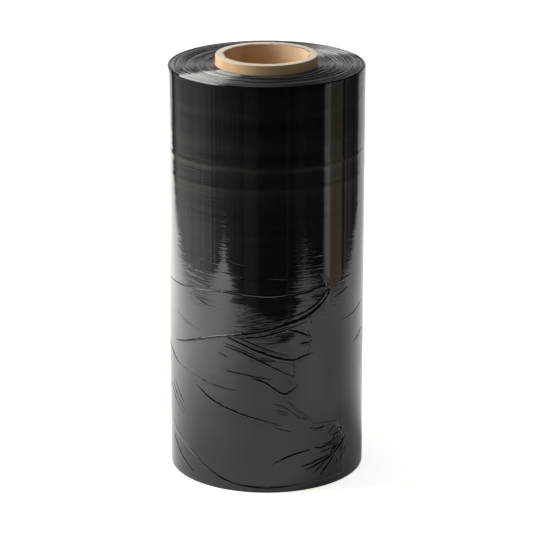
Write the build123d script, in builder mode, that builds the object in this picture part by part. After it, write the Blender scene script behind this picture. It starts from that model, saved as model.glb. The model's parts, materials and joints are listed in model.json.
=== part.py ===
"""Roll of black stretch film on a spiral-wound paperboard core, standing on its end.

Millimetres, +Z up along the roll's axis. The origin is on the axis, in the plane of the lower end.
Angles are measured round the roll from its front (-Y), positive towards +X.
"""

import os
from math import hypot, radians, sin

from build123d import *

# ---- core: a standard three-inch tube ----
core_bore = 76.2
core_wall = 8.1
core_stand_out = 8.5  # how far the tube stands above the film's upper end
core_edge_radius = 0.6

# ---- wound film ----
film_width = 381.0
roll_diameter = 179.0
roll_edge_radius = 1.2
band_count = 14  # groups of turns that were wound slightly off their neighbours
band_rise = 0.9  # the furthest that a group stands back from the end plane

# ---- loose outer turn, which ends at a torn edge ----
tail_lift = 0.6  # how far the torn edge stands off the roll
film_thickness = 0.02
tail_thickest_angle = 35.0
tail_fade_angle = -125.0  # where the loose turn lies down into the roll
tail_low = 6.5
fold_height = 0.1  # how far the folds stand above the torn edge
fold_width = 2.4

core_radius = core_bore / 2
core_outer_radius = core_radius + core_wall
core_length = film_width + core_stand_out
roll_radius = roll_diameter / 2
clear_of_roll = 10.0  # reach of the cutting shapes past the roll

# Upper edge of the loose turn from left to right, then its torn edge from top to bottom:
# (angle, height), in degrees and in parts per thousand of the film's width.
upper_edge = [(-56, 491), (-25, 502), (2, 496), (24, 501)]
torn_edge = [
    (34, 509), (38, 491), (33, 467), (27, 444), (24, 415), (27, 386), (26, 344), (17, 333), (16, 304),
    (18, 270), (13, 249), (13, 231), (18, 207), (25, 181), (28, 159), (38, 152), (45, 149), (48, 121),
    (52, 102), (52, 50),
]

# The main folds, each a run of (angle, height) along its crest, in the same units.
folds = {
    "rope": [(37, 527), (38, 491), (31, 459), (15, 428), (-9, 404), (-38, 378), (-68, 339)],
    "upper": [(-46, 493), (-25, 504), (2, 496), (30, 504)],
    "second": [(-22, 388), (-6, 360), (13, 337), (23, 341)],
    "third": [(-22, 365), (1, 323), (17, 289)],
    "fourth": [(-25, 304), (-14, 299), (1, 291)],
    "pocket": [(-7, 289), (2, 267), (9, 254), (15, 262)],
    "left": [(-70, 297), (-54, 278), (-35, 265), (-20, 260)],
    "long": [(-43, 247), (-27, 213), (-4, 186), (8, 171)],
    "short": [(5, 226), (15, 199), (25, 181)],
    "low": [(3, 73), (12, 92), (26, 102)],
    "knot": [(52, 108), (42, 76), (34, 31)],
}


def on_front(angle, per_mille):
    """A point of the roll's side as seen straight from the front: across, and up."""
    return (roll_radius * sin(radians(angle)), film_width * per_mille / 1000)


def spindle(crest, width):
    """The two sides of a fold that is widest at mid-run and tapers to its ends."""
    points = [on_front(*station) for station in crest]
    left, right = [points[0]], [points[0]]
    for before, here, after in zip(points, points[1:], points[2:]):
        run, rise = after[0] - before[0], after[1] - before[1]
        across = width / 2 / hypot(run, rise)
        left.append((here[0] - rise * across, here[1] + run * across))
        right.append((here[0] + rise * across, here[1] - run * across))
    return left + [points[-1]], right + [points[-1]]


def band_offset(band):
    """How far a group of turns stands back from the end plane."""
    return band_rise * (1 + sin(2.4 * band + 0.6)) / 2


def end_steps():
    """(radius, set-back) along one end face, from the core outwards; the last group is flush."""
    pitch = (roll_radius - core_outer_radius) / band_count
    steps = []
    for band in range(band_count):
        set_back = band_offset(band) if band < band_count - 1 else 0.0
        inner = core_outer_radius + band * pitch
        steps += [(inner, set_back), (inner + pitch, set_back)]
    return steps


# ---- core_tube: one spiral-wound tube, flush with the film below and proud of it above ----
with BuildPart() as core_tube:
    with BuildSketch(Plane.XY):
        Circle(core_outer_radius)
        Circle(core_radius, mode=Mode.SUBTRACT)
    extrude(amount=core_length)
    fillet(core_tube.edges().filter_by(GeomType.CIRCLE), radius=core_edge_radius)

# ---- the loose outer turn, thickest at its torn edge, before it joins the roll ----
tail_radius = roll_radius + (tail_lift + film_thickness) / 2
tail_offset = (tail_lift - film_thickness) / 2
tail_top = film_width * max(height for _, height in upper_edge + torn_edge) / 1000
fade_across = roll_radius * sin(radians(tail_fade_angle))

with BuildPart() as loose_turn:
    with BuildSketch(Plane.XY.offset(tail_low)):
        with PolarLocations(tail_offset, 1, start_angle=tail_thickest_angle - 90):
            Circle(tail_radius)
        Circle(roll_radius - tail_lift, mode=Mode.SUBTRACT)
    extrude(amount=tail_top - tail_low)
    with BuildSketch(Plane.XZ):
        with BuildLine():
            far_left = -roll_radius - clear_of_roll
            left_top = (far_left, on_front(*upper_edge[0])[1])
            right_foot = (on_front(*torn_edge[-1])[0], 0)
            edge_points = [on_front(*station) for station in upper_edge + torn_edge]
            Polyline((far_left, 0), left_top, *edge_points, right_foot, close=True)
        make_face()
    front_part = extrude(amount=roll_radius + clear_of_roll, mode=Mode.PRIVATE)
    with BuildSketch(Plane.XZ):
        with BuildLine():
            Polyline((far_left, 0), left_top, (fade_across, left_top[1]), (fade_across, 0), close=True)
        make_face()
    back_part = extrude(amount=-roll_radius - clear_of_roll, mode=Mode.PRIVATE)
    add(front_part + back_part, mode=Mode.INTERSECT)

# ---- the folds, each a low ridge that follows the roll's side ----
fold_parts = []
for crest in folds.values():
    left_side, right_side = spindle(crest, fold_width)
    with BuildPart() as fold:
        with BuildSketch(Plane.XZ):
            with BuildLine():
                Spline(*left_side)
                Spline(*right_side)
            make_face()
        extrude(amount=roll_radius + clear_of_roll)
        with BuildSketch(Plane.XY):
            Circle(roll_radius + tail_lift + fold_height)
            Circle(roll_radius - tail_lift, mode=Mode.SUBTRACT)
        extrude(amount=film_width, mode=Mode.INTERSECT)
    fold_parts.append(fold.part)

# ---- film_roll: all the turns as one solid, with the loose turn and its folds ----
with BuildPart() as film_roll:
    with BuildSketch(Plane.XZ):
        with BuildLine():
            lower = [(radius, set_back) for radius, set_back in end_steps()]
            upper = [(radius, film_width - set_back) for radius, set_back in reversed(end_steps())]
            Polyline(*lower, *upper, close=True)
        make_face()
        fillet(vertices().group_by(Axis.X)[-1], radius=roll_edge_radius)
    revolve(axis=Axis.Z)
    add([loose_turn.part, *fold_parts])

core_tube.part.label = "core_tube"
film_roll.part.label = "film_roll"

os.makedirs("parts", exist_ok=True)
export_step(core_tube.part, "parts/core_tube.step")
export_step(film_roll.part, "parts/film_roll.step")
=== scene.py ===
"""A roll of black stretch film on a spiral-wound board core, standing on its end on a pale floor.

Angles are measured round the roll from its front (-Y), positive towards +X, in degrees.
Heights on the film are in parts per thousand of its width, so the folds keep to a roll of any size.
"""

import json
import math

import bmesh
import bpy
from bpy.props import FloatProperty, FloatVectorProperty, IntProperty, PointerProperty
from bpy.types import Operator, Panel, PropertyGroup
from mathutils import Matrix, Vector, noise


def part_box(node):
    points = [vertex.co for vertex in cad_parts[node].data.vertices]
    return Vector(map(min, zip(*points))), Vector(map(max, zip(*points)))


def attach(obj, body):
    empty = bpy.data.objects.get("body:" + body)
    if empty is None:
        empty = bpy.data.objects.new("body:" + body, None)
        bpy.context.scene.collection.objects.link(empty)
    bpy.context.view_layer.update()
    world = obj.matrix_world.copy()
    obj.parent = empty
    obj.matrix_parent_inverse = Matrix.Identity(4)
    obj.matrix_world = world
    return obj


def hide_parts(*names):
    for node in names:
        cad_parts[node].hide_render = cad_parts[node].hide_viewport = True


bl_info = {
    "name": "Stretch Wrap Roll",
    "version": (1, 0, 0),
    "blender": (4, 5, 0),
    "location": "View3D > Sidebar > Stretch Wrap",
    "description": "Makes a roll of black stretch film on a board core, and its stage",
    "category": "Add Mesh",
}

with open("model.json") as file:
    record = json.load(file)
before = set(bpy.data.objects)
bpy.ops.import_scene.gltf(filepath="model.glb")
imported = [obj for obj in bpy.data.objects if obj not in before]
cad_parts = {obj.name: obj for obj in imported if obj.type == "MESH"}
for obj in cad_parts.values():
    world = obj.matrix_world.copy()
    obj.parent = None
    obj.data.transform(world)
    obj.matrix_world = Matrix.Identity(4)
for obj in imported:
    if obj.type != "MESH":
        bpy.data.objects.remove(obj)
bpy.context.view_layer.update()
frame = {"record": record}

MM = 0.001
BODY = "root"
FILM_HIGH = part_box("film_roll")[1]
CORE_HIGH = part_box("core_tube")[1]
BORE_MOUNT = next(mount for mount in frame["record"]["mounts"] if mount["name"] == "core_bore")
BORE_RADIUS = BORE_MOUNT["dims"]["r_mm"] * MM
FILM_INDEX = 1.5  # how strongly the film bends light, which sets its gloss
THIN_BANDS = (0.327, 0.306, 0.286, 0.352, 0.262)  # heights, in metres, of the bands where film is thin
THIN_BAND_REACH = 2.4 * MM
RING_TURNS = 3100.0  # radians of the ring pattern in each metre across the roll's ends
PLY_TURNS = 9000.0  # the same for the plies on the tube's cut end

# ---- the loose outer turn: (angle, height) along its edges ----
UPPER_EDGE = [(-122, 470), (-80, 486), (-56, 491), (-25, 502), (2, 496), (24, 501), (34, 509), (60, 509)]
LOWER_EDGE = [(-122, 190), (-80, 121), (-62, 95), (-46, 66), (-35, 45), (-19, 18), (14, 16), (52, 20)]
TORN_EDGE = [
    (52, 0), (52, 50), (53, 80), (52, 102), (48, 121), (45, 149), (38, 152), (28, 159), (25, 181),
    (18, 207), (13, 231), (13, 249), (18, 270), (16, 304), (17, 333), (26, 344), (27, 386), (24, 415),
    (27, 444), (33, 467), (38, 491), (35, 512),
]
TAIL_START = -122.0  # where the loose turn lies down into the roll

# ---- folds: (width in mm, height in mm, lean, crest as a run of (angle, height)) ----
FOLDS = [
    (1.9, 0.5, 0.5, [(-57, 490), (-46, 493), (-37, 494), (-25, 502), (-9, 498), (2, 496), (14, 499),
                     (24, 502), (31, 505), (34.5, 500), (35, 490)]),
    (3.3, 1.35, 0.6, [(33, 543), (37, 527), (38.5, 507), (38, 488), (34, 470), (28, 452), (21, 438),
                     (12, 427), (0, 412), (-9, 404), (-19, 397), (-30, 387)]),
    (2.6, 1.1, 0.5, [(14, 421), (2, 409), (-9, 402), (-19, 396), (-30, 387), (-42, 371), (-56, 351),
                     (-69, 339)]),
    (1.9, 0.8, 0.6, [(32, 541), (35, 527), (35.5, 507), (35, 490), (31, 473), (25, 458), (16, 445),
                     (5, 434), (-8, 427)]),
    (1.7, 0.6, 0.6, [(24, 430), (12, 414), (2, 401), (-9, 393), (-20, 389)]),
    (2.8, 1.1, -0.5, [(12, 413), (18, 405), (22, 397), (28, 385)]),
    (3.9, 1.5, 0.6, [(-25, 392), (-16, 376), (-6, 358), (4, 343), (12, 334), (17, 333), (21, 340),
                     (28, 348)]),
    (2.2, 0.9, 0.6, [(-22, 400), (-13, 384), (-4, 369), (5, 356), (13, 346)]),
    (2.7, 1.1, 0.6, [(-25, 367), (-14, 352), (-6, 337), (1, 323), (9, 306), (18, 288)]),
    (1.7, 0.6, 0.6, [(-26, 375), (-15, 361), (-5, 344)]),
    (2.3, 0.9, 0.6, [(-28, 306), (-14, 299), (-6, 293), (4, 290)]),
    (3.4, 1.4, 0.6, [(-10, 292), (-2, 281), (4, 264), (8, 252), (11, 249), (15, 259), (19, 272)]),
    (1.7, 0.6, 0.5, [(-84, 322), (-73, 302), (-64, 286), (-54, 278), (-45, 273), (-35, 265), (-24, 259),
                     (-16, 257)]),
    (2.7, 1.0, 0.6, [(-46, 254), (-39, 236), (-35, 226), (-27, 213), (-16, 199), (-4, 186), (9, 171)]),
    (1.8, 0.7, 0.5, [(5, 166), (10, 159), (15, 153)]),
    (1.9, 0.75, 0.5, [(3, 229), (10, 218), (15, 201), (20, 187), (27, 180)]),
    (1.7, 0.6, 0.5, [(5, 211), (9, 207), (12, 203)]),
    (1.5, 0.5, 0.5, [(6, 205), (10, 199), (13, 197)]),
    (2.3, 0.9, -0.5, [(2, 72), (8, 84), (16, 96), (27, 104)]),
    (2.6, 1.0, 0.5, [(25, 161), (31, 152), (38, 155), (47, 151)]),
    (2.0, 0.7, 0.5, [(-36, 42), (-26, 26), (-17, 17), (-5, 12), (8, 13), (24, 21)]),
    (1.2, 0.35, 0.3, [(-78, 220), (-71, 196), (-64, 176), (-57, 160)]),
    (1.0, 0.3, 0.3, [(-74, 228), (-68, 207), (-62, 188), (-55, 168)]),
    (1.0, 0.3, 0.3, [(-70, 238), (-63, 210), (-57, 190)]),
    (1.3, 0.35, 0.3, [(-76, 132), (-66, 108), (-58, 96), (-49, 87)]),
    (1.3, 0.35, 0.3, [(-52, 86), (-44, 64), (-36, 46), (-27, 30)]),
    (1.1, 0.3, 0.3, [(-72, 90), (-64, 62), (-56, 40), (-48, 24)]),
    (2.0, 0.6, -0.4, [(-56, 549), (-49, 543), (-44, 538), (-37, 537)]),
    (2.4, 0.7, 0.4, [(-54, 532), (-46, 526), (-36, 522)]),
    (1.8, 0.5, 0.4, [(-51, 514), (-43, 509), (-34, 506)]),
    (2.0, 0.6, 0.4, [(-54, 477), (-46, 471), (-36, 461)]),
    (1.4, 0.4, 0.4, [(-43, 556), (-40, 574), (-36, 590)]),
    (1.9, 0.5, 0.4, [(43, 508), (50, 510), (60, 517)]),
    (2.0, 0.6, -0.4, [(43, 474), (49, 480), (55, 489)]),
    (1.2, 0.35, -0.3, [(50, 410), (58, 414), (66, 420), (75, 432)]),
    (1.2, 0.35, -0.3, [(62, 340), (68, 347), (76, 362)]),
    (1.4, 0.4, -0.3, [(-27, 549), (-20, 546), (-13, 541)]),
    (1.3, 0.35, -0.3, [(1, 541), (6, 539), (12, 537)]),
    (1.6, 0.5, 0.4, [(28, 582), (32, 586), (35, 583)]),
    (1.8, 0.6, -0.4, [(27, 566), (31, 563), (35, 568)]),
    (1.6, 0.5, 0.4, [(29, 552), (32, 555), (36, 551)]),
    (3.2, 1.2, 0.5, [(19, 376), (22, 373), (26, 374)]),
    (1.4, 0.5, 0.4, [(-29, 349), (-26, 343), (-23, 340)]),
    (1.5, 0.5, 0.4, [(12, 286), (14, 279), (15, 273)]),
    (1.2, 0.5, 0.3, [(16, 330), (15.5, 318), (16.5, 304), (15.5, 293), (17, 284)]),
    (1.1, 0.45, 0.3, [(11, 248), (10.5, 238), (13, 228), (16, 212), (19, 200), (23, 187), (27, 176)]),
    (1.3, 0.5, 0.3, [(24, 352), (26, 362), (25, 374), (27, 384), (25, 398)]),
    (1.6, 0.6, 0.4, [(28, 446), (25, 436), (27, 428), (24, 418)]),
    (2.7, 1.1, 0.4, [(31, 508), (35, 505), (37, 498), (35, 492)]),
    (0.8, 0.22, 0.3, [(-47, 556), (-39, 580), (-33, 600)]),
    (0.8, 0.22, 0.3, [(-36, 560), (-33, 577), (-30, 588)]),
    (0.8, 0.22, 0.3, [(-24, 582), (-18, 574), (-12, 570)]),
    (1.0, 0.3, 0.4, [(-60, 404), (-50, 398), (-42, 392)]),
    (0.8, 0.22, 0.3, [(-66, 420), (-58, 408), (-49, 402)]),
]

# ---- the knot at the foot of the torn edge: pleats that run out from one gathered place ----
KNOT = (43, 84)
KNOT_PLEATS = [
    (3.2, 1.5, [(53, 114), (49, 98), (44, 84), (38, 70), (33, 56)]),
    (2.6, 1.2, [(47, 120), (46, 103), (42, 86), (40, 76)]),
    (2.0, 0.9, [(43, 81), (34, 75), (27, 68), (20, 62)]),
    (2.2, 1.0, [(42, 78), (35, 68), (29, 59), (23, 51)]),
    (2.1, 1.0, [(42, 77), (37, 64), (32, 51), (28, 40)]),
    (2.3, 1.1, [(43, 76), (40, 60), (36, 45), (33, 29)]),
    (1.9, 0.9, [(46, 80), (46, 62), (44, 44)]),
    (2.0, 1.0, [(50, 98), (51, 78), (50, 60), (49, 44)]),
    (2.2, 1.0, [(47, 101), (40, 105), (33, 103), (28, 108)]),
    (1.7, 0.8, [(45, 90), (38, 93), (32, 90)]),
    (1.9, 0.9, [(46, 124), (43, 116), (39, 110), (34, 112)]),
    (1.6, 0.8, [(52, 104), (54, 88), (53, 70), (53, 54)]),
]


def film_width():
    return FILM_HIGH.z


def roll_radius():
    return FILM_HIGH.y


def smooth_step(low, high, value):
    """0 below low, 1 above high, and a smooth rise between."""
    share = min(max((value - low) / (high - low), 0.0), 1.0)
    return share * share * (3 - 2 * share)


def through(points, place):
    """Value at a place on a run of (value, place) pairs that is sorted by place."""
    if place <= points[0][1]:
        return points[0][0]
    for (value, at), (next_value, next_at) in zip(points, points[1:]):
        if place <= next_at:
            return value + (next_value - value) * (place - at) / (next_at - at)
    return points[-1][0]


def height_at(edge, angle):
    """Height of an edge of the loose turn at an angle, in parts per thousand."""
    return through([(height, at) for at, height in edge], angle)


def on_roll(angle, height, proud=0.0):
    """A point on the roll's side, in metres; proud is how far it stands off the side."""
    turn, radius = math.radians(angle), roll_radius() + proud
    return Vector((radius * math.sin(turn), -radius * math.cos(turn), height / 1000 * film_width()))


def tail_proud(angle, height, lift):
    """How far the loose turn's outer face stands off the roll, in metres."""
    if angle > through(TORN_EDGE, height) or height > height_at(UPPER_EDGE, angle):
        return 0.0
    reach = smooth_step(TAIL_START, -20, angle)
    lumps = noise.noise(Vector((angle / 13, height / 36, 4.0)))
    ripples = noise.noise(Vector((angle / 5, height / 22, 9.0)))
    near_tear = smooth_step(34, 0, through(TORN_EDGE, height) - angle)
    gathered = smooth_step(14, 0, math.hypot(angle - KNOT[0], (height - KNOT[1]) / 4))
    under_rope = math.exp(-((height - 388) / 26) ** 2)
    swell = 0.30 + 0.34 * near_tear + (0.08 + (0.08 + 0.4 * under_rope) * near_tear) * lumps
    swell += (0.02 + 0.05 * near_tear + 0.4 * gathered) * ripples
    return lift * (reach * swell - 0.08 * (1 - reach))


def smooth_run(points, steps):
    """Points of a Catmull-Rom curve through the given ones, with so many steps in all."""
    run = [Vector(point) for point in points]
    run = [2 * run[0] - run[1]] + run + [2 * run[-1] - run[-2]]
    spans = len(points) - 1
    found = []
    for step in range(steps + 1):
        place = min(step / steps * spans, spans - 1e-6)
        span, t = int(place), place - int(place)
        a, b, c, d = run[span:span + 4]
        found.append(0.5 * (2 * b + (c - a) * t + (2 * a - 5 * b + 4 * c - d) * t ** 2
                            + (3 * b - a - 3 * c + d) * t ** 3))
    return found


def new_piece(name, bm, *materials):
    """Puts a finished bmesh into the scene as a shaded-smooth piece that rides on the roll's body."""
    mesh = bpy.data.meshes.new(name)
    bm.to_mesh(mesh)
    bm.free()
    mesh.shade_smooth()
    for material in materials:
        mesh.materials.append(material)
    piece = bpy.data.objects.new(name, mesh)
    bpy.context.scene.collection.objects.link(piece)
    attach(piece, BODY)
    return piece


def spun(profile, steps):
    """A bmesh of a closed profile of (radius, height) turned once about the roll's axis."""
    bm = bmesh.new()
    line = [bm.verts.new((radius, 0.0, height)) for radius, height in profile]
    for start, end in zip(line, line[1:]):
        bm.edges.new((start, end))
    bm.edges.new((line[-1], line[0]))
    bmesh.ops.spin(bm, geom=bm.verts[:] + bm.edges[:], cent=(0, 0, 0), axis=(0, 0, 1),
                   angle=2 * math.pi, steps=steps, use_merge=True, use_duplicate=False)
    bmesh.ops.remove_doubles(bm, verts=bm.verts[:], dist=1e-7)
    bmesh.ops.recalc_face_normals(bm, faces=bm.faces[:])
    return bm


# ---------------------------------------------------------------------------
# Materials
# ---------------------------------------------------------------------------


def add_node(tree, kind, settings=None, **inputs):
    """Adds a node; inputs are named with _ for a space and are values or sockets."""
    node = tree.nodes.new(kind)
    for key, value in (settings or {}).items():
        setattr(node, key, value)
    for key, value in inputs.items():
        socket = node.inputs[int(key[1:])] if key[1:].isdigit() else node.inputs[key.replace("_", " ")]
        if isinstance(value, bpy.types.NodeSocket):
            tree.links.new(value, socket)
        else:
            socket.default_value = value
    return node


def group_tree(name, inputs, outputs):
    """A shader node group with float inputs (name, default) and outputs, and its two end nodes."""
    tree = bpy.data.node_groups.new(name, "ShaderNodeTree")
    for label, default in inputs:
        socket = tree.interface.new_socket(name=label, in_out="INPUT", socket_type="NodeSocketFloat")
        socket.default_value = default
    for label in outputs:
        tree.interface.new_socket(name=label, in_out="OUTPUT", socket_type="NodeSocketFloat")
    return tree, tree.nodes.new("NodeGroupInput").outputs, tree.nodes.new("NodeGroupOutput").inputs


def stretch_lines():
    """Fine lines that run round the roll, where the film was pulled tight while it was wound."""
    if "Stretch Lines" in bpy.data.node_groups:
        return bpy.data.node_groups["Stretch Lines"]
    tree, given, put = group_tree(
        "Stretch Lines", [("Run", 26.0), ("Pitch", 330.0), ("Seed", 0.0)], ["Height", "Mask"])
    place = add_node(tree, "ShaderNodeTexCoord").outputs["Object"]
    scale = add_node(tree, "ShaderNodeCombineXYZ", X=given["Run"], Y=given["Run"], Z=given["Pitch"])
    spread = vector_node(tree, "MULTIPLY", _0=place, _1=scale.outputs[0])
    fine = add_node(tree, "ShaderNodeTexNoise", {"noise_dimensions": "4D"}, Vector=spread,
                    W=given["Seed"], Scale=1.0, Detail=3.0, Roughness=0.62)
    wide = add_node(tree, "ShaderNodeTexNoise", Vector=place, Scale=14.0, Detail=2.0)
    patchy = add_node(tree, "ShaderNodeMapRange", Value=wide.outputs["Fac"], From_Min=0.36, From_Max=0.62)
    tree.links.new(fine.outputs["Fac"], put["Height"])
    tree.links.new(patchy.outputs[0], put["Mask"])
    return tree


def use_group(tree, group, **inputs):
    return add_node(tree, "ShaderNodeGroup", {"node_tree": group}, **inputs).outputs


def new_material(name):
    material = bpy.data.materials.new(name)
    material.use_nodes = True
    tree = material.node_tree
    return material, tree, tree.nodes["Principled BSDF"]


def math_node(tree, operation, first, second):
    return add_node(tree, "ShaderNodeMath", {"operation": operation}, _0=first, _1=second).outputs[0]


def vector_node(tree, operation, **inputs):
    return add_node(tree, "ShaderNodeVectorMath", {"operation": operation}, **inputs).outputs[0]


def from_axis(tree, place):
    """Distance of a place from the roll's axis."""
    flat = vector_node(tree, "MULTIPLY", _0=place, _1=(1, 1, 0))
    return add_node(tree, "ShaderNodeVectorMath", {"operation": "LENGTH"}, _0=flat).outputs["Value"]


def fill_ramp(ramp, stops):
    """Sets a colour ramp from (mark, level) or (mark, level, warmth), from 0 to 1."""
    for mark, level, *warmth in stops:
        warm = warmth[0] if warmth else 0.0
        if mark in (0.0, 1.0):
            stop = ramp.elements[0 if mark == 0.0 else -1]
        else:
            stop = ramp.elements.new(mark)
        stop.color = (level, level * (1 - 0.12 * warm), level * (1 - 0.22 * warm), 1)


def film_side_material(name, colour, loose, line_depth, crumple_depth):
    """Glossy black film: a faint tint, fine stretch lines, soft lumps, and smears in the gloss."""
    material, tree, shader = new_material(name)
    place = add_node(tree, "ShaderNodeTexCoord").outputs["Object"]
    lines = use_group(tree, stretch_lines(), Run=60.0, Pitch=620.0 - 150 * loose, Seed=loose)
    slow = use_group(tree, stretch_lines(), Run=9.0, Pitch=95.0, Seed=3.0 + loose)
    haze = use_group(tree, stretch_lines(), Run=5.0, Pitch=62.0, Seed=6.0 + loose)
    lumps = add_node(tree, "ShaderNodeTexNoise", Vector=place, Scale=46.0, Detail=2.0, Roughness=0.5)
    smears = add_node(tree, "ShaderNodeTexNoise", Vector=place, Scale=11.0, Detail=4.0)
    cloudy = add_node(tree, "ShaderNodeMapRange", Value=haze["Height"], From_Min=0.42, From_Max=0.72)
    tint = add_node(tree, "ShaderNodeMix", {"data_type": "RGBA"}, Factor=cloudy.outputs[0])
    tint.inputs["A"].default_value = (*[part * 0.5 for part in colour], 1)
    tint.inputs["B"].default_value = (colour[0] * 2.0, colour[1] * 1.85, colour[2] * 1.7, 1)
    up = add_node(tree, "ShaderNodeSeparateXYZ", Vector=place).outputs["Z"]
    wander = math_node(tree, "MULTIPLY", smears.outputs["Fac"], 0.006)
    bands = add_node(tree, "ShaderNodeValToRGB", Fac=math_node(tree, "ADD", up, wander))
    # (height in metres, paleness) up the roll: the film is paler where it is thin
    fill_ramp(bands.color_ramp, [
        (0.0, 0.0), (0.276, 0.0), (0.284, 0.12), (0.2885, 0.5), (0.2915, 0.0), (0.299, 0.0),
        (0.305, 0.18), (0.3085, 0.75), (0.3115, 0.0), (0.321, 0.0), (0.327, 0.15), (0.3305, 0.5),
        (0.333, 0.0), (0.35, 0.0), (0.358, 0.2), (0.362, 0.0), (1.0, 0.0)])
    film = add_node(tree, "ShaderNodeMix", {"data_type": "RGBA"}, Factor=bands.outputs["Color"])
    tree.links.new(tint.outputs["Result"], film.inputs["A"])
    film.inputs["B"].default_value = (colour[0] * 7.0, colour[1] * 6.4, colour[2] * 4.4, 1)
    gloss = add_node(tree, "ShaderNodeMapRange", Value=smears.outputs["Fac"], From_Min=0.3, From_Max=0.7,
                     To_Min=0.02 + 0.03 * loose, To_Max=0.05 + 0.06 * loose)
    depth = math_node(tree, "MULTIPLY", lines["Height"],
                      math_node(tree, "ADD", math_node(tree, "MULTIPLY", lines["Mask"], 0.8), 0.2))
    first = add_node(tree, "ShaderNodeBump", Strength=1.0, Distance=line_depth, Height=depth)
    second = add_node(tree, "ShaderNodeBump", Strength=1.0, Distance=line_depth * 1.4,
                      Height=slow["Height"], Normal=first.outputs[0])
    ribbed = add_node(tree, "ShaderNodeBump", Strength=1.0, Distance=0.3 * MM,
                      Height=bands.outputs["Color"], Normal=second.outputs[0])
    third = add_node(tree, "ShaderNodeBump", Strength=1.0, Distance=crumple_depth,
                     Height=lumps.outputs["Fac"], Normal=ribbed.outputs[0])
    tree.links.new(film.outputs["Result"], shader.inputs["Base Color"])
    tree.links.new(gloss.outputs[0], shader.inputs["Roughness"])
    tree.links.new(third.outputs[0], shader.inputs["Normal"])
    shader.inputs["IOR"].default_value = FILM_INDEX
    return material


def film_end_material(colour):
    """The edges of hundreds of turns, seen end on: fine rings, pale rings painted into the colour that are
    part dust and part painted highlight, and a dull shine.
    """
    material, tree, shader = new_material("film_end")
    place = add_node(tree, "ShaderNodeTexCoord").outputs["Object"]
    radius = from_axis(tree, place)
    ring = add_node(tree, "ShaderNodeCombineXYZ", X=radius).outputs[0]
    drift = vector_node(tree, "MULTIPLY", _0=place, _1=(5, 5, 0))
    fine_place = vector_node(tree, "MULTIPLY_ADD", _0=ring, _1=(2600, 0, 0), _2=drift)
    fine = add_node(tree, "ShaderNodeTexNoise", Vector=fine_place, Scale=1.0, Detail=3.0)
    broad_place = vector_node(tree, "MULTIPLY_ADD", _0=ring, _1=(420, 0, 0), _2=drift)
    broad = add_node(tree, "ShaderNodeTexNoise", Vector=broad_place, Scale=1.0, Detail=2.0, Roughness=0.7)
    phase = math_node(tree, "ADD", math_node(tree, "MULTIPLY", radius, RING_TURNS),
                      math_node(tree, "MULTIPLY", broad.outputs["Fac"], 9.0))
    rings = math_node(tree, "SINE", phase, 0.0)
    strength = math_node(tree, "MULTIPLY", rings, broad.outputs["Fac"])
    # Painted in the colour: pale rings that are part dust and part painted highlight, standing in for the
    # light that the ring ridges catch.
    dust_and_highlight = add_node(tree, "ShaderNodeMapRange", Value=strength, From_Min=0.2, From_Max=0.5)
    shade = add_node(tree, "ShaderNodeMix", {"data_type": "RGBA"}, Factor=dust_and_highlight.outputs[0])
    shade.inputs["A"].default_value = (*colour, 1)
    shade.inputs["B"].default_value = (*[part * 15.0 for part in colour], 1)
    gloss = add_node(tree, "ShaderNodeMapRange", Value=fine.outputs["Fac"], From_Min=0.35,
                     From_Max=0.65, To_Min=0.08, To_Max=0.2)
    first = add_node(tree, "ShaderNodeBump", Strength=1.0, Distance=0.00006, Height=fine.outputs["Fac"])
    second = add_node(tree, "ShaderNodeBump", Strength=1.0, Distance=0.0008,
                      Height=strength, Normal=first.outputs[0])
    tree.links.new(shade.outputs["Result"], shader.inputs["Base Color"])
    tree.links.new(gloss.outputs[0], shader.inputs["Roughness"])
    tree.links.new(second.outputs[0], shader.inputs["Normal"])
    shader.inputs["IOR"].default_value = FILM_INDEX
    return material


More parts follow.
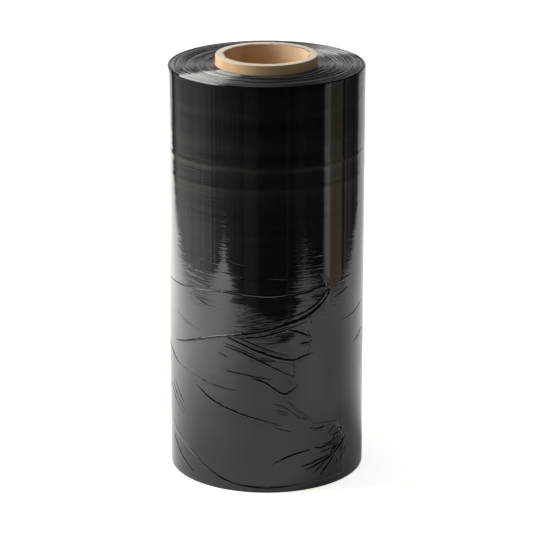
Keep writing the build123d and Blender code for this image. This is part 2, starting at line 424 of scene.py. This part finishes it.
def board_material(name, colour, fibre_run, cut_end):
    """Kraft board: fibres, flecks, and on a cut end the rings of its plies."""
    material, tree, shader = new_material(name)
    place = add_node(tree, "ShaderNodeTexCoord").outputs["Object"]
    along = vector_node(tree, "MULTIPLY", _0=place, _1=fibre_run)
    fibre = add_node(tree, "ShaderNodeTexNoise", Vector=along, Scale=1.0, Detail=5.0, Roughness=0.65)
    blotch = add_node(tree, "ShaderNodeTexNoise", Vector=place, Scale=60.0, Detail=3.0)
    flecks = add_node(tree, "ShaderNodeTexNoise", Vector=place, Scale=900.0, Detail=2.0)
    light = add_node(tree, "ShaderNodeMix", {"data_type": "RGBA"}, Factor=fibre.outputs["Fac"])
    light.inputs["A"].default_value = (*[part * 0.72 for part in colour], 1)
    light.inputs["B"].default_value = (*[min(part * 1.25, 1) for part in colour], 1)
    shade = add_node(tree, "ShaderNodeMapRange", Value=blotch.outputs["Fac"], From_Min=0.3, From_Max=0.7,
                     To_Min=0.9, To_Max=1.06)
    result = vector_node(tree, "SCALE", _0=light.outputs["Result"], Scale=shade.outputs[0])
    height = fibre.outputs["Fac"]
    if cut_end:
        radius = from_axis(tree, place)
        wander = math_node(tree, "MULTIPLY", blotch.outputs["Fac"], 0.0006)
        phase = math_node(tree, "MULTIPLY", math_node(tree, "ADD", radius, wander), PLY_TURNS)
        waves = math_node(tree, "SINE", phase, 0.0)
        ply = add_node(tree, "ShaderNodeMapRange", Value=waves, From_Min=0.2, From_Max=1.0,
                       To_Min=1.0, To_Max=0.9)
        near_bore = add_node(tree, "ShaderNodeMapRange", Value=radius,
                             From_Min=BORE_RADIUS + 2.6 * MM, From_Max=BORE_RADIUS + 0.4 * MM)
        patches = add_node(tree, "ShaderNodeTexNoise", Vector=place, Scale=120.0, Detail=4.0)
        torn = add_node(tree, "ShaderNodeMapRange", Value=patches.outputs["Fac"], From_Min=0.42,
                        From_Max=0.54, To_Min=0.0, To_Max=0.75)
        wear = math_node(tree, "MULTIPLY", near_bore.outputs[0], torn.outputs[0])
        shading = math_node(tree, "MULTIPLY", ply.outputs[0], math_node(tree, "SUBTRACT", 1.0, wear))
        result = vector_node(tree, "SCALE", _0=result, Scale=shading)
        height = math_node(tree, "ADD", height, math_node(tree, "MULTIPLY", waves, 0.15))
    tree.links.new(result, shader.inputs["Base Color"])
    rough = add_node(tree, "ShaderNodeMapRange", Value=flecks.outputs["Fac"], To_Min=0.62, To_Max=0.86)
    tree.links.new(rough.outputs[0], shader.inputs["Roughness"])
    bump = add_node(tree, "ShaderNodeBump", Strength=0.7, Distance=0.00012, Height=height)
    tree.links.new(bump.outputs[0], shader.inputs["Normal"])
    shader.inputs["Specular IOR Level"].default_value = 0.25
    return material


# ---------------------------------------------------------------------------
# What a user may change
# ---------------------------------------------------------------------------


class WoundFilmSizes(PropertyGroup):
    ring_steps: IntProperty(name="Ring Steps", description="Facets round the roll", default=240, min=64)
    ridge_pitch: FloatProperty(name="Ridge Pitch", description="Mean gap between ridges on the ends",
                               default=1.25 * MM, unit="LENGTH")
    ridge_height: FloatProperty(name="Ridge Height", description="Highest ridge on the ends",
                                default=1.0 * MM, unit="LENGTH")
    corner: FloatProperty(name="Corner", description="Radius of the roll's outer corners",
                          default=1.8 * MM, unit="LENGTH")
    wall_rows: IntProperty(name="Wall Rows", description="Rows of faces up the side", default=120, min=20)
    band_depth: FloatProperty(name="Band Depth", description="Depth of the bands where the film is thin",
                              default=0.06 * MM, unit="LENGTH")
    colour: FloatVectorProperty(name="Film Colour", description="Body colour of the film", size=3,
                                subtype="COLOR", default=(0.0042, 0.004, 0.0042), min=0, max=1)


class LooseTurnSizes(PropertyGroup):
    lift: FloatProperty(name="Lift", description="How far the torn edge stands off the roll",
                        default=1.2 * MM, unit="LENGTH")
    thickness: FloatProperty(name="Thickness", description="Thickness of the loose layers",
                             default=0.42 * MM, unit="LENGTH")
    columns: IntProperty(name="Columns", description="Faces across the loose turn", default=230, min=20)
    rows: IntProperty(name="Rows", description="Faces up the loose turn", default=150, min=20)
    tear: FloatProperty(name="Tear", description="Raggedness of the torn edge, in degrees", default=1.3)


class FoldSizes(PropertyGroup):
    around: IntProperty(name="Facets", description="Facets round a fold", default=10, min=6)
    step: FloatProperty(name="Step", description="Length of a fold's faces", default=1.3 * MM,
                        unit="LENGTH")
    packed: IntProperty(name="Packed Pleats", description="Short pleats in the knot", default=32, min=0)


class CoreSizes(PropertyGroup):
    edge: FloatProperty(name="Edge Radius", description="Rounding of the tube's ends",
                        default=0.5 * MM, unit="LENGTH")
    steps: IntProperty(name="Steps", description="Facets round the tube", default=180, min=32)
    fray: FloatProperty(name="Fray", description="How far torn fibres stand off the inner edge",
                        default=1.0 * MM, unit="LENGTH")
    outside: FloatVectorProperty(name="Board Colour", description="Colour of the tube's paper", size=3,
                                 subtype="COLOR", default=(0.55, 0.365, 0.205), min=0, max=1)
    cut: FloatVectorProperty(name="Cut Colour", description="Colour of the tube's cut end", size=3,
                             subtype="COLOR", default=(0.42, 0.345, 0.265), min=0, max=1)


class StageSizes(PropertyGroup):
    distance: FloatProperty(name="Camera Distance", description="From the roll's axis", default=2.469,
                            unit="LENGTH")
    rise: FloatProperty(name="Camera Rise", description="Above the film's upper end", default=0.603,
                        unit="LENGTH")
    pitch: FloatProperty(name="Camera Pitch", description="Downward tilt", default=math.radians(17.86),
                         subtype="ANGLE")
    lens: FloatProperty(name="Lens", description="Focal length in millimetres", default=190.2)
    table_front: FloatProperty(name="Table Front", description="From the axis to the front edge",
                               default=0.54, unit="LENGTH")
    table_left: FloatProperty(name="Table Left", description="From the axis to the left edge",
                              default=0.6, unit="LENGTH")
    table_right: FloatProperty(name="Table Right", description="From the axis to the right edge",
                               default=0.5, unit="LENGTH")
    table_back: FloatProperty(name="Table Back", description="From the axis to the back edge",
                              default=2.2, unit="LENGTH")
    room_radius: FloatProperty(name="Room Radius", description="From the axis to the dark cards",
                               default=2.0, unit="LENGTH")


# ---------------------------------------------------------------------------
# Pieces
# ---------------------------------------------------------------------------


def end_ridges(inner, outer, sizes, coarseness, seed):
    """(radius, depth below the end plane) along one end, from the core outwards."""
    points = [(inner, 0.3 * MM)]
    radius, count = inner, 0
    while True:
        count += 1
        chance = noise.noise(Vector((count * 0.83, seed, 0.0)))
        pitch = coarseness * sizes.ridge_pitch * (1.0 + 0.9 * chance)
        if radius + pitch > outer:
            break
        depth = sizes.ridge_height * (0.75 + 0.9 * noise.noise(Vector((count * 0.57, seed, 5.0))))
        slow = 0.45 * MM * (0.5 + noise.noise(Vector((radius * 90, seed, 2.0))))
        points.append((radius + 0.45 * pitch, slow + 0.15 * depth))
        points.append((radius + 0.80 * pitch, slow + 0.10 * depth))
        points.append((radius + pitch, slow + depth))
        radius += pitch
    return points


class ROLL_OT_wound_film(Operator):
    """Make the wound film: its side and its two ridged ends"""

    bl_idname = "roll.wound_film"
    bl_label = "Wound Film"

    def execute(self, context):
        sizes = context.scene.wound_film
        width, outer, corner = film_width(), roll_radius(), sizes.corner
        inner, reach = CORE_HIGH.x, outer - corner
        lower = [(radius, max(depth, 0.0)) for radius, depth in end_ridges(inner, reach, sizes, 2.4, 7.0)]
        ridges = end_ridges(inner, reach, sizes, 1.0, 1.0)
        upper = [(radius, width - max(depth, 0.0)) for radius, depth in ridges]
        quarter = [math.radians(15 * step) for step in range(7)]
        foot = [(reach + corner * math.sin(turn), corner - corner * math.cos(turn)) for turn in quarter]
        rows = sizes.wall_rows
        wall = []
        for row in range(1, rows):
            height = corner + (width - 2 * corner) * row / rows
            band = sum(math.exp(-((height - centre) / THIN_BAND_REACH) ** 2) for centre in THIN_BANDS)
            drift = noise.noise(Vector((height * 60, 2.0, 0.0)))
            wall.append((outer + sizes.band_depth * (0.8 * drift - band), height))
        shoulder = [(radius, width - height) for radius, height in reversed(foot)]
        bm = spun(lower + foot + wall + shoulder + upper[::-1], sizes.ring_steps)
        for vert in bm.verts:
            radius = math.hypot(vert.co.x, vert.co.y)
            if inner + 0.5 * MM < radius < reach:
                wander = noise.noise(Vector((vert.co.x * 22, vert.co.y * 22, radius * 400)))
                vert.co.z += wander * 0.16 * MM * (1 if vert.co.z < width / 2 else -1)
            elif radius > reach:
                heave = noise.noise(Vector((vert.co.x * 9, vert.co.y * 9, vert.co.z * 14)))
                swell = 1 + heave * 0.05 * MM / radius
                vert.co.x *= swell
                vert.co.y *= swell
        for face in bm.faces:
            face.material_index = 1 if face.calc_center_median().xy.length < reach else 0
        side = film_side_material("film_side", sizes.colour, 0.0, 0.085 * MM, 0.03 * MM)
        piece = new_piece("wound_film", bm, side, film_end_material([part * 1.6 for part in sizes.colour]))
        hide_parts("film_roll")
        return {"FINISHED"}


class ROLL_OT_loose_turn(Operator):
    """Make the loose outer turn, which ends at a torn edge"""

    bl_idname = "roll.loose_turn"
    bl_label = "Loose Turn"

    def execute(self, context):
        sizes = context.scene.loose_turn
        bm = bmesh.new()
        bmesh.ops.create_grid(bm, x_segments=sizes.columns, y_segments=sizes.rows, size=0.5)
        top = TORN_EDGE[-1][1]
        for vert in bm.verts:
            across, up = vert.co.x + 0.5, vert.co.y + 0.5
            nominal = top * up
            ragged = noise.noise(Vector((nominal / 7, 1.0, 0.0))) + 0.5 * noise.noise(
                Vector((nominal / 2.5, 3.0, 0.0)))
            tear = through(TORN_EDGE, nominal) + sizes.tear * ragged
            angle = TAIL_START + (tear - TAIL_START) * across
            foot, head = height_at(LOWER_EDGE, angle), height_at(UPPER_EDGE, angle)
            height = foot + (head - foot) * up
            proud = tail_proud(min(angle, through(TORN_EDGE, height)), min(height, head), sizes.lift)
            vert.co = on_roll(angle, height, proud)
        bmesh.ops.recalc_face_normals(bm, faces=bm.faces[:])
        face = bm.faces[:][0]
        if face.normal.dot(face.calc_center_median() * Vector((1, 1, 0))) < 0:
            bmesh.ops.reverse_faces(bm, faces=bm.faces[:])
        bmesh.ops.solidify(bm, geom=bm.faces[:], thickness=sizes.thickness)
        bmesh.ops.recalc_face_normals(bm, faces=bm.faces[:])
        colour = context.scene.wound_film.colour
        film = film_side_material("film_loose", colour, 1.0, 0.085 * MM, 0.07 * MM)
        piece = new_piece("loose_turn", bm, film)
        return {"FINISHED"}


def add_fold(bm, crest, width, height, lean, around, step, lift):
    """Adds one closed fold: a flattened tube that tapers to both ends and follows the roll's side."""
    length = sum((on_roll(*here) - on_roll(*there)).length for here, there in zip(crest, crest[1:]))
    steps = max(int(length / step), 8)
    run = smooth_run(crest, steps)
    places = [on_roll(angle, level, tail_proud(angle, level, lift)) for angle, level in run]
    face = None
    for index, place in enumerate(places):
        before, after = places[max(index - 1, 0)], places[min(index + 1, steps)]
        out = Vector((place.x, place.y, 0)).normalized()
        aside = out.cross((after - before).normalized())
        share = index / steps
        taper = (4 * share * (1 - share)) ** 0.45 * 0.97 + 0.03
        uneven = 1 + 0.35 * noise.noise(Vector((share * length * 220, crest[0][0], crest[0][1])))
        half, rise = width / 2 * taper * uneven, height * taper * uneven
        points = []
        for corner in range(around):
            turn = 2 * math.pi * corner / around
            up = math.sin(turn)
            points.append(place + aside * half * (math.cos(turn) + lean * max(up, 0)) + out * rise * up)
        if face is None:
            circle = bmesh.ops.create_circle(bm, cap_ends=True, radius=half, segments=around)
            verts = circle["verts"]
            face = verts[0].link_faces[0]
        else:
            face = bmesh.ops.extrude_discrete_faces(bm, faces=[face])["faces"][0]
            verts = [loop.vert for loop in face.loops]
        for vert, point in zip(verts, points):
            vert.co = point


def packed_pleat(index):
    """One of the short pleats that are packed together above and inside the knot."""
    def chance(seed):
        return noise.noise(Vector((index * 1.37 + 0.4, seed, 0.5)))
    middle = (KNOT[0] + 4 + 11 * chance(1.0), KNOT[1] + 22 + 52 * chance(2.0))
    slant, reach = 1.2 + 3 * chance(3.0), 3.4 + 3 * chance(4.0)
    across, up = reach * math.cos(slant), 3.6 * reach * math.sin(slant)
    bend = 3 * chance(5.0)
    crest = [(middle[0] - across, middle[1] - up), (middle[0] + bend * 0.4, middle[1] + bend),
             (middle[0] + across, middle[1] + up)]
    return (1.5 + chance(6.0), 0.8 + 0.5 * chance(7.0), 0.4, crest)


class ROLL_OT_folds(Operator):
    """Make the folds and the gathered knot of the loose turn"""

    bl_idname = "roll.folds"
    bl_label = "Folds"

    def execute(self, context):
        sizes, lift = context.scene.folds, context.scene.loose_turn.lift
        bm = bmesh.new()
        creases = [(1.5, 0.45, 0.4, [(-23 + 2 * step, 404 + 13 * step), (-12, 406 + 13 * step),
                                     (-2 - 2 * step, 414 + 13 * step), (7 - 3 * step, 424 + 11 * step)])
                   for step in range(5)]
        pleats = [(width, height, 0.4, crest) for width, height, crest in KNOT_PLEATS]
        packed = [packed_pleat(index) for index in range(sizes.packed)]
        for width, height, lean, crest in FOLDS + creases + pleats + packed:
            add_fold(bm, crest, width * MM, height * MM, lean, sizes.around, sizes.step, lift)
        bmesh.ops.recalc_face_normals(bm, faces=bm.faces[:])
        colour = context.scene.wound_film.colour
        film = film_side_material("film_fold", colour, 0.6, 0.02 * MM, 0.1 * MM)
        piece = new_piece("film_folds", bm, film)
        return {"FINISHED"}


class ROLL_OT_core_tube(Operator):
    """Make the spiral-wound board core"""

    bl_idname = "roll.core_tube"
    bl_label = "Core Tube"

    def execute(self, context):
        sizes = context.scene.core
        outer, bore, top, edge = CORE_HIGH.x, BORE_RADIUS, CORE_HIGH.z, sizes.edge
        corners = [(bore, 0.0, 180), (outer, 0.0, 270), (outer, top, 0), (bore, top, 90)]
        profile = []
        for radius, height, start in corners:
            centre_radius = radius + (edge if radius == bore else -edge)
            centre_height = height + (edge if height == 0.0 else -edge)
            for step in range(5):
                turn = math.radians(start + 22.5 * step)
                across, up = edge * math.cos(turn), edge * math.sin(turn)
                profile.append((centre_radius + across, centre_height + up))
            if radius == outer and height == 0.0:
                profile += [(outer, top * share) for share in (0.25, 0.5, 0.75, 0.95)]
            if radius == bore and height == top:
                profile += [(bore, top * share) for share in (0.97, 0.9, 0.75, 0.5, 0.25)]
        bm = spun(profile, sizes.steps)
        for vert in bm.verts:
            radius = vert.co.xy.length
            angle = math.atan2(vert.co.x, -vert.co.y)
            near_top = smooth_step(top - 3 * MM, top - 0.2 * MM, vert.co.z)
            rough = noise.noise(Vector((angle * 30, radius * 300, 6.0)))
            inner_edge = smooth_step(bore + 1.6 * MM, bore, radius)
            torn = smooth_step(0.35, 0.0, abs(angle - 2.45))
            torn += 0.5 * smooth_step(0.1, 0.0, abs(angle + 0.05))
            vert.co.z += near_top * (0.05 * MM * rough + sizes.fray * torn * inner_edge * (rough - 0.3))
            shift = 1 - near_top * inner_edge * torn * sizes.fray * abs(rough) / radius
            vert.co.x *= shift
            vert.co.y *= shift
        for face in bm.faces:
            face.material_index = 1 if abs(face.normal.z) > 0.5 else 0
        piece = new_piece(
            "core_board", bm,
            board_material("board_paper", sizes.outside, (50, 50, 1100), False),
            board_material("board_cut", sizes.cut, (500, 500, 500), True))
        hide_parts("core_tube")
        return {"FINISHED"}


# ---------------------------------------------------------------------------
# Stage
# ---------------------------------------------------------------------------


def add_light(name, place, target, size, power):
    lamp = bpy.data.lights.new(name, "AREA")
    lamp.shape, lamp.size, lamp.size_y = "RECTANGLE", *size
    lamp.energy = power
    light = bpy.data.objects.new(name, lamp)
    light.location = place
    light.rotation_euler = (Vector(target) - Vector(place)).to_track_quat("-Z", "Y").to_euler()
    light.visible_camera = False
    bpy.context.scene.collection.objects.link(light)
    return light


def stage_mesh(name, bm, material, only_in_gloss):
    """Puts a finished bmesh into the scene as part of the stage, which is no piece of the roll."""
    mesh = bpy.data.meshes.new(name)
    bm.to_mesh(mesh)
    bm.free()
    mesh.materials.append(material)
    item = bpy.data.objects.new(name, mesh)
    if only_in_gloss:
        item.visible_camera = item.visible_diffuse = item.visible_shadow = False
        item.visible_transmission = False
    bpy.context.scene.collection.objects.link(item)
    return item


def seen_background(tree):
    """Strength of the pale background for what the camera, gloss and glass see of it."""
    rays = add_node(tree, "ShaderNodeLightPath").outputs
    seen = math_node(tree, "ADD", rays["Is Camera Ray"], rays["Is Glossy Ray"])
    return math_node(tree, "ADD", seen, rays["Is Transmission Ray"])


class ROLL_OT_stage(Operator):
    """Set up the table, the room, the lights and the camera"""

    bl_idname = "roll.stage"
    bl_label = "Stage"

    def execute(self, context):
        sizes = context.scene.stage
        self.make_camera(context, sizes)
        self.make_table(sizes)
        self.make_room(sizes)
        self.make_softbox()
        self.make_world(context)
        self.make_lights()
        context.scene.view_settings.view_transform = "Standard"
        return {"FINISHED"}

    def make_camera(self, context, sizes):
        camera = bpy.data.objects.new("camera", bpy.data.cameras.new("camera"))
        camera.data.lens, camera.data.sensor_width = sizes.lens, 36.0
        camera.location = (0, -sizes.distance, film_width() + sizes.rise)
        camera.rotation_euler = (math.pi / 2 - sizes.pitch, 0, 0)
        context.scene.collection.objects.link(camera)
        context.scene.camera = camera

    def make_table(self, sizes):
        bm = bmesh.new()
        left, right = sizes.table_left, sizes.table_right
        outline = [(-left, -sizes.table_front), (right, -sizes.table_front), (right * 1.26, 0.0),
                   (right * 1.8, sizes.table_back), (-left * 1.5, sizes.table_back), (-left * 1.05, 0.0)]
        bm.faces.new([bm.verts.new((*corner, 0.0)) for corner in outline])
        material, tree, shader = new_material("table_top")
        place = add_node(tree, "ShaderNodeTexCoord").outputs["Object"]
        side = add_node(tree, "ShaderNodeSeparateXYZ", Vector=place).outputs["X"]
        # Painted light: in gloss the table glows brighter towards the left and a little towards the right,
        # with a mottle. This is a painted pool of light for the film to reflect; the camera still sees an
        # even white.
        painted_left_light_pool = add_node(tree, "ShaderNodeMapRange", {"interpolation_type": "SMOOTHSTEP"}, Value=side,
                             From_Min=-0.12, From_Max=-0.5, To_Min=0.0, To_Max=1.55).outputs[0]
        painted_right_light_pool = add_node(tree, "ShaderNodeMapRange", {"interpolation_type": "SMOOTHSTEP"}, Value=side,
                              From_Min=0.1, From_Max=0.34, To_Min=0.0, To_Max=0.26).outputs[0]
        mottle = add_node(tree, "ShaderNodeTexNoise", Vector=place, Scale=5.0, Detail=2.0)
        painted_light_mottle = add_node(tree, "ShaderNodeMapRange", Value=mottle.outputs["Fac"], From_Min=0.3,
                           From_Max=0.7, To_Min=-0.12, To_Max=0.12).outputs[0]
        painted_light_pool = math_node(tree, "ADD", math_node(tree, "ADD", painted_left_light_pool, painted_right_light_pool), painted_light_mottle)
        rays = add_node(tree, "ShaderNodeLightPath").outputs
        in_gloss = math_node(tree, "MULTIPLY", math_node(tree, "ADD", painted_light_pool, -0.61), rays["Is Glossy Ray"])
        glow = math_node(tree, "MULTIPLY", seen_background(tree), 0.8)
        shader.inputs["Base Color"].default_value = (0.8, 0.78, 0.75, 1)
        shader.inputs["Roughness"].default_value = 0.9
        shader.inputs["Specular IOR Level"].default_value = 0.0
        shader.inputs["Emission Color"].default_value = (1, 0.985, 0.955, 1)
        tree.links.new(math_node(tree, "ADD", glow, in_gloss), shader.inputs["Emission Strength"])
        table = stage_mesh("table", bm, material, False)

    def make_room(self, sizes):
        """The dim room in front, seen only in the film's gloss: tall soft strips of light and dark."""
        bm = bmesh.new()
        bmesh.ops.create_cone(bm, cap_ends=True, segments=96, radius1=sizes.room_radius,
                              radius2=sizes.room_radius, depth=4.6)
        bmesh.ops.translate(bm, vec=(0, 0, 0.1), verts=bm.verts[:])
        material = bpy.data.materials.new("room_strips")
        material.use_nodes = True
        tree = material.node_tree
        tree.nodes.remove(tree.nodes["Principled BSDF"])
        place = add_node(tree, "ShaderNodeTexCoord").outputs["Object"]
        parts = add_node(tree, "ShaderNodeSeparateXYZ", Vector=place).outputs
        forward = math_node(tree, "MULTIPLY", parts["Y"], -1.0)
        angle = math_node(tree, "ARCTAN2", parts["X"], forward)
        share = add_node(tree, "ShaderNodeMapRange", Value=angle, From_Min=-math.pi, From_Max=math.pi)
        ramp = add_node(tree, "ShaderNodeValToRGB", Fac=share.outputs[0])
        stops = [
            (-180, 1.0, 0.2), (-152, 1.6, 0.2), (-141.5, 1.45, 0.3), (-139.5, 0.1, 0.5), (-133, 0.14, 0.5),
            (-129, 0.55, 0.6), (-118, 0.95, 0.6), (-100, 1.05, 0.6), (-78, 1.05, 0.6), (-66, 0.8, 0.6),
            (-64, 0.5, 0.6), (-52, 0.42, 0.6), (-42, 0.28, 0.6), (-28, 0.15, 0.6), (-24, 0.24, 1.4),
            (-12, 0.2, 1.4), (-8, 0.06, 0.5), (30, 0.05, 0.5), (40, 0.13, 0.8), (46, 0.08, 0.8),
            (69, 0.08, 0.8), (71, 1.6, 0.6), (77.5, 1.45, 0.6), (78.5, 0.8, 1.2), (83, 0.6, 1.7),
            (96, 0.6, 1.9), (98, 0.12, 0.8), (112, 0.24, 1.2), (118, 0.1, 0.5), (131, 0.1, 0.5),
            (133, 0.84, 0.4),
            (180, 1.0, 0.2),
        ]
        fill_ramp(ramp.color_ramp, [((angle + 180) / 360, *rest) for angle, *rest in stops])
        slits = add_node(tree, "ShaderNodeValToRGB", Fac=share.outputs[0])
        narrow = []
        for middle, half, level in [(-148, 0.8, 0.5), (-122, 0.9, 0.35), (-106, 0.9, 0.8), (-86, 0.7, 0.4),
                                    (-62, 0.8, 0.3), (24, 0.8, 0.12), (88, 0.7, 0.55), (103.5, 0.9, 1.0),
                                    (126, 0.8, 0.3)]:
            narrow += [(middle - half, 0.0), (middle, level), (middle + half, 0.0)]
        fill_ramp(slits.color_ramp, [(0.0, 0.0)] + [((angle + 180) / 360, level)
                                                    for angle, level in narrow] + [(1.0, 0.0)])
        strips = vector_node(tree, "ADD", _0=ramp.outputs["Color"], _1=slits.outputs["Color"])
        low = add_node(tree, "ShaderNodeMapRange", Value=parts["Z"], From_Min=-0.3, From_Max=-0.2,
                       To_Min=0.0, To_Max=0.42)
        facing = add_node(tree, "ShaderNodeMapRange", Value=forward, From_Min=-1.4, From_Max=-0.8)
        dimmed = math_node(tree, "MULTIPLY", low.outputs[0], facing.outputs[0])
        high = add_node(tree, "ShaderNodeMapRange", Value=parts["Z"], From_Min=0.55, From_Max=1.0,
                        To_Min=1.0, To_Max=0.14)
        level = math_node(tree, "MULTIPLY", math_node(tree, "SUBTRACT", 1.0, dimmed), high.outputs[0])
        posts = add_node(tree, "ShaderNodeTexNoise", {"noise_dimensions": "1D"},
                         W=math_node(tree, "MULTIPLY", angle, 32.0), Scale=1.0, Detail=2.0)
        lined = add_node(tree, "ShaderNodeMapRange", Value=posts.outputs["Fac"], From_Min=0.3,
                         From_Max=0.7, To_Min=0.62, To_Max=1.36)
        cloud_place = vector_node(tree, "MULTIPLY", _0=place, _1=(0.8, 0.8, 9.0))
        cloud = add_node(tree, "ShaderNodeTexNoise", Vector=cloud_place, Scale=1.0, Detail=3.0)
        uneven = add_node(tree, "ShaderNodeMapRange", Value=cloud.outputs["Fac"], From_Min=0.3,
                          From_Max=0.7, To_Min=0.72, To_Max=1.2)
        level = math_node(tree, "MULTIPLY", level, lined.outputs[0])
        glow = add_node(tree, "ShaderNodeEmission", Color=strips,
                        Strength=math_node(tree, "MULTIPLY", level, uneven.outputs[0]))
        tree.links.new(glow.outputs[0], tree.nodes["Material Output"].inputs["Surface"])
        room = stage_mesh("room", bm, material, True)

    def make_softbox(self):
        """A bright box up behind on the left, seen only in gloss: it makes the fan on the roll's top."""
        corners = [(-0.11, 1.45, 1.26), (-0.39, 1.41, 1.22), (-0.75, 0.23, 1.89), (-1.2, 0.93, 1.15),
                   (-1.33, -0.86, 1.0), (-1.51, 0.74, 0.61)]
        bm = bmesh.new()
        verts = [bm.verts.new(corner) for corner in corners]
        bm.faces.new([verts[place] for place in (0, 1, 3, 2)])
        bm.faces.new([verts[place] for place in (2, 3, 5, 4)])
        material, _, shader = new_material("softbox_glow")
        shader.inputs["Base Color"].default_value = (0, 0, 0, 1)
        shader.inputs["Emission Color"].default_value = (1, 0.97, 0.92, 1)
        shader.inputs["Emission Strength"].default_value = 7.5
        box = stage_mesh("softbox", bm, material, True)

    def make_world(self, context):
        world = bpy.data.worlds.new("studio")
        world.use_nodes = True
        tree = world.node_tree
        back = tree.nodes["Background"]
        back.inputs["Color"].default_value = (1, 1, 1, 1)
        seen = seen_background(tree)
        strength = add_node(tree, "ShaderNodeMapRange", Value=seen, To_Min=0.17, To_Max=1.0)
        tree.links.new(strength.outputs[0], back.inputs["Strength"])
        context.scene.world = world

    def make_lights(self):
        target = (0, 0, film_width() * 0.6)
        add_light("key", (-1.25, 0.1, 1.35), target, (0.9, 1.1), 50.0)
        top = add_light("top", (-0.1, 0.2, 2.0), target, (1.4, 1.4), 9.0)
        top.visible_glossy = False


class ROLL_PT_panel(Panel):
    """Lists the roll's sizes and the steps that make it"""

    bl_idname = "ROLL_PT_panel"
    bl_label = "Stretch Wrap Roll"
    bl_space_type = "VIEW_3D"
    bl_region_type = "UI"
    bl_category = "Stretch Wrap"

    def draw(self, context):
        for operator, group in STEPS:
            box = self.layout.box()
            box.operator(operator.bl_idname)
            settings = getattr(context.scene, group)
            for name in type(settings).__annotations__:
                box.prop(settings, name)


GROUPS = {
    "wound_film": WoundFilmSizes,
    "loose_turn": LooseTurnSizes,
    "folds": FoldSizes,
    "core": CoreSizes,
    "stage": StageSizes,
}
STEPS = [
    (ROLL_OT_stage, "stage"),
    (ROLL_OT_core_tube, "core"),
    (ROLL_OT_wound_film, "wound_film"),
    (ROLL_OT_loose_turn, "loose_turn"),
    (ROLL_OT_folds, "folds"),
]
CLASSES = [*GROUPS.values(), *[operator for operator, _ in STEPS], ROLL_PT_panel]


def register():
    for item in CLASSES:
        bpy.utils.register_class(item)
    for name, group in GROUPS.items():
        setattr(bpy.types.Scene, name, PointerProperty(type=group))


def unregister():
    for name in GROUPS:
        delattr(bpy.types.Scene, name)
    for item in reversed(CLASSES):
        bpy.utils.unregister_class(item)


def main():
    register()
    bpy.ops.roll.stage()
    bpy.ops.roll.core_tube()
    bpy.ops.roll.wound_film()
    bpy.ops.roll.loose_turn()
    bpy.ops.roll.folds()


if __name__ == "__main__":
    main()
